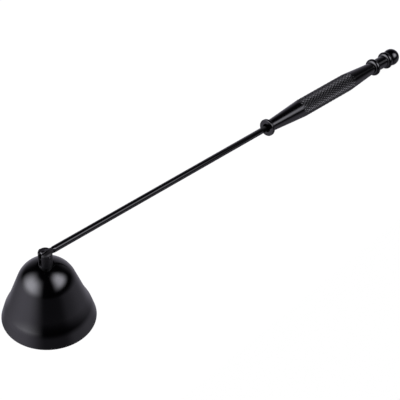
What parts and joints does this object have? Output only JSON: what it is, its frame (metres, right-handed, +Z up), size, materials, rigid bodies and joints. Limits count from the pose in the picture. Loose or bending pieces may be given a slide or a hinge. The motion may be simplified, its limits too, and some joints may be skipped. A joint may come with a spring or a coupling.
{
  "type": "candle snuffer",
  "caption": "Long-handled candle snuffer: a hinged bell on a slender rod with a knurled, turned handle ending in a ball.",
  "frame": {"origin": "centre of the bell's mouth, in the plane of the table that it stands on", "axes": "+Z up the bell's axis, +X towards the handle, +Y across the hinge along its pin"},
  "size_m": [0.2709, 0.042, 0.0398],
  "materials": {
    "bell_paint": "satin black",
    "stud_paint": "satin black",
    "fixing_steel": "blackened, dull",
    "pin_steel": "blackened, worn at the peened ends",
    "rod_paint": "semi-gloss black",
    "handle_paint": "semi-gloss black, knurled grip"
  },
  "bodies": {
    "handle_and_rod": {"handle": "handle_paint", "rod": "rod_paint"},
    "bell_head": {"bell": "bell_paint", "clevis_stud": "stud_paint", "crown_washer": "fixing_steel", "crown_nut": "fixing_steel", "hinge_pin": "pin_steel"}
  },
  "joints": [
    {"name": "bell_swing", "type": "hinge", "parent": "handle_and_rod", "child": "bell_head", "pos_m": [0, 0, 0.0374], "axis": [0, 1, 0], "range_deg": [-20, 215.3]}
  ]
}
